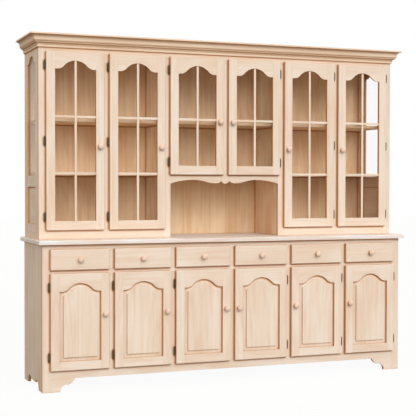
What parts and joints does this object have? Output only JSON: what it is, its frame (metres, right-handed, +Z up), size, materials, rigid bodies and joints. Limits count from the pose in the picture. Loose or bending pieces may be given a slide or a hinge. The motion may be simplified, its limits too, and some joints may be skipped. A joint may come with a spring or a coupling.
{
  "type": "step back cupboard",
  "caption": "Wide wooden step back cupboard: drawers and arched panel doors under a counter, glazed arched doors above it and an open niche in the middle.",
  "frame": {"origin": "on the floor, in the middle of the bounding box of the whole object at rest", "axes": "+Z up; the doors and drawers face -Y; +X to the right of someone who faces the doors"},
  "size_m": [2.504, 0.568, 2.121],
  "materials": {
    "wood": "unfinished light hardwood, sanded, matte",
    "inner_wood": "unfinished light hardwood boards inside",
    "glass": "clear flat glass",
    "bronze": "dark antique bronze, slightly worn",
    "catch": "brown moulded plastic"
  },
  "bodies": {
    "cabinet": {"base_side_panels": "wood", "base_face_frame": "wood", "base_deck_and_shelves": "inner_wood", "base_partitions": "inner_wood", "drawer_runners": "inner_wood", "base_back": "inner_wood", "counter_top": "wood", "hutch_side_frames": "wood", "hutch_side_glass": "glass", "hutch_face_frame": "wood", "hutch_valance": "wood", "hutch_back": "inner_wood", "hutch_top": "inner_wood", "hutch_partitions": "inner_wood", "hutch_shelves": "inner_wood", "crown_moulding": "wood", "frame_hinges": "bronze", "door_catches": "catch"},
    "drawer_1": {"drawer_1": "wood"},
    "drawer_2": {"drawer_2": "wood"},
    "drawer_3": {"drawer_3": "wood"},
    "drawer_4": {"drawer_4": "wood"},
    "drawer_5": {"drawer_5": "wood"},
    "drawer_6": {"drawer_6": "wood"},
    "base_door_1": {"base_door_1_frame": "wood", "base_door_1_panel": "wood", "base_door_1_fittings": "bronze"},
    "base_door_2": {"base_door_2_frame": "wood", "base_door_2_panel": "wood", "base_door_2_fittings": "bronze"},
    "base_door_3": {"base_door_3_frame": "wood", "base_door_3_panel": "wood", "base_door_3_fittings": "bronze"},
    "base_door_4": {"base_door_4_frame": "wood", "base_door_4_panel": "wood", "base_door_4_fittings": "bronze"},
    "base_door_5": {"base_door_5_frame": "wood", "base_door_5_panel": "wood", "base_door_5_fittings": "bronze"},
    "base_door_6": {"base_door_6_frame": "wood", "base_door_6_panel": "wood", "base_door_6_fittings": "bronze"},
    "hutch_door_1": {"hutch_door_1_frame": "wood", "hutch_door_1_glass": "glass", "hutch_door_1_fittings": "bronze"},
    "hutch_door_2": {"hutch_door_2_frame": "wood", "hutch_door_2_glass": "glass", "hutch_door_2_fittings": "bronze"},
    "hutch_door_3": {"hutch_door_3_frame": "wood", "hutch_door_3_glass": "glass", "hutch_door_3_fittings": "bronze"},
    "hutch_door_4": {"hutch_door_4_frame": "wood", "hutch_door_4_glass": "glass", "hutch_door_4_fittings": "bronze"},
    "hutch_door_5": {"hutch_door_5_frame": "wood", "hutch_door_5_glass": "glass", "hutch_door_5_fittings": "bronze"},
    "hutch_door_6": {"hutch_door_6_frame": "wood", "hutch_door_6_glass": "glass", "hutch_door_6_fittings": "bronze"}
  },
  "joints": [
    {"name": "drawer_1_slide", "type": "slide", "parent": "cabinet", "child": "drawer_1", "axis": [0, -1, 0], "range_m": [0, 0.33]},
    {"name": "drawer_2_slide", "type": "slide", "parent": "cabinet", "child": "drawer_2", "axis": [0, -1, 0], "range_m": [0, 0.33]},
    {"name": "drawer_3_slide", "type": "slide", "parent": "cabinet", "child": "drawer_3", "axis": [0, -1, 0], "range_m": [0, 0.33]},
    {"name": "drawer_4_slide", "type": "slide", "parent": "cabinet", "child": "drawer_4", "axis": [0, -1, 0], "range_m": [0, 0.33]},
    {"name": "drawer_5_slide", "type": "slide", "parent": "cabinet", "child": "drawer_5", "axis": [0, -1, 0], "range_m": [0, 0.33]},
    {"name": "drawer_6_slide", "type": "slide", "parent": "cabinet", "child": "drawer_6", "axis": [0, -1, 0], "range_m": [0, 0.33]},
    {"name": "base_door_1_hinge", "type": "hinge", "parent": "cabinet", "child": "base_door_1", "pos_m": [-1.16, -0.2389, 0.4], "axis": [0, 0, -1], "range_deg": [0, 105]},
    {"name": "base_door_2_hinge", "type": "hinge", "parent": "cabinet", "child": "base_door_2", "pos_m": [-0.77, -0.2389, 0.4], "axis": [0, 0, -1], "range_deg": [0, 105]},
    {"name": "base_door_3_hinge", "type": "hinge", "parent": "cabinet", "child": "base_door_3", "pos_m": [-0.38, -0.2389, 0.4], "axis": [0, 0, -1], "range_deg": [0, 105]},
    {"name": "base_door_4_hinge", "type": "hinge", "parent": "cabinet", "child": "base_door_4", "pos_m": [0.38, -0.2389, 0.4], "axis": [0, 0, 1], "range_deg": [0, 105]},
    {"name": "base_door_5_hinge", "type": "hinge", "parent": "cabinet", "child": "base_door_5", "pos_m": [0.77, -0.2389, 0.4], "axis": [0, 0, 1], "range_deg": [0, 105]},
    {"name": "base_door_6_hinge", "type": "hinge", "parent": "cabinet", "child": "base_door_6", "pos_m": [1.16, -0.2389, 0.4], "axis": [0, 0, 1], "range_deg": [0, 105]},
    {"name": "hutch_door_1_hinge", "type": "hinge", "parent": "cabinet", "child": "hutch_door_1", "pos_m": [-1.16, -0.1269, 1], "axis": [0, 0, -1], "range_deg": [0, 105]},
    {"name": "hutch_door_2_hinge", "type": "hinge", "parent": "cabinet", "child": "hutch_door_2", "pos_m": [-0.77, -0.1269, 1], "axis": [0, 0, -1], "range_deg": [0, 105]},
    {"name": "hutch_door_3_hinge", "type": "hinge", "parent": "cabinet", "child": "hutch_door_3", "pos_m": [-0.38, -0.1269, 1], "axis": [0, 0, -1], "range_deg": [0, 105]},
    {"name": "hutch_door_4_hinge", "type": "hinge", "parent": "cabinet", "child": "hutch_door_4", "pos_m": [0.38, -0.1269, 1], "axis": [0, 0, 1], "range_deg": [0, 105]},
    {"name": "hutch_door_5_hinge", "type": "hinge", "parent": "cabinet", "child": "hutch_door_5", "pos_m": [0.77, -0.1269, 1], "axis": [0, 0, 1], "range_deg": [0, 105]},
    {"name": "hutch_door_6_hinge", "type": "hinge", "parent": "cabinet", "child": "hutch_door_6", "pos_m": [1.16, -0.1269, 1], "axis": [0, 0, 1], "range_deg": [0, 105]}
  ]
}
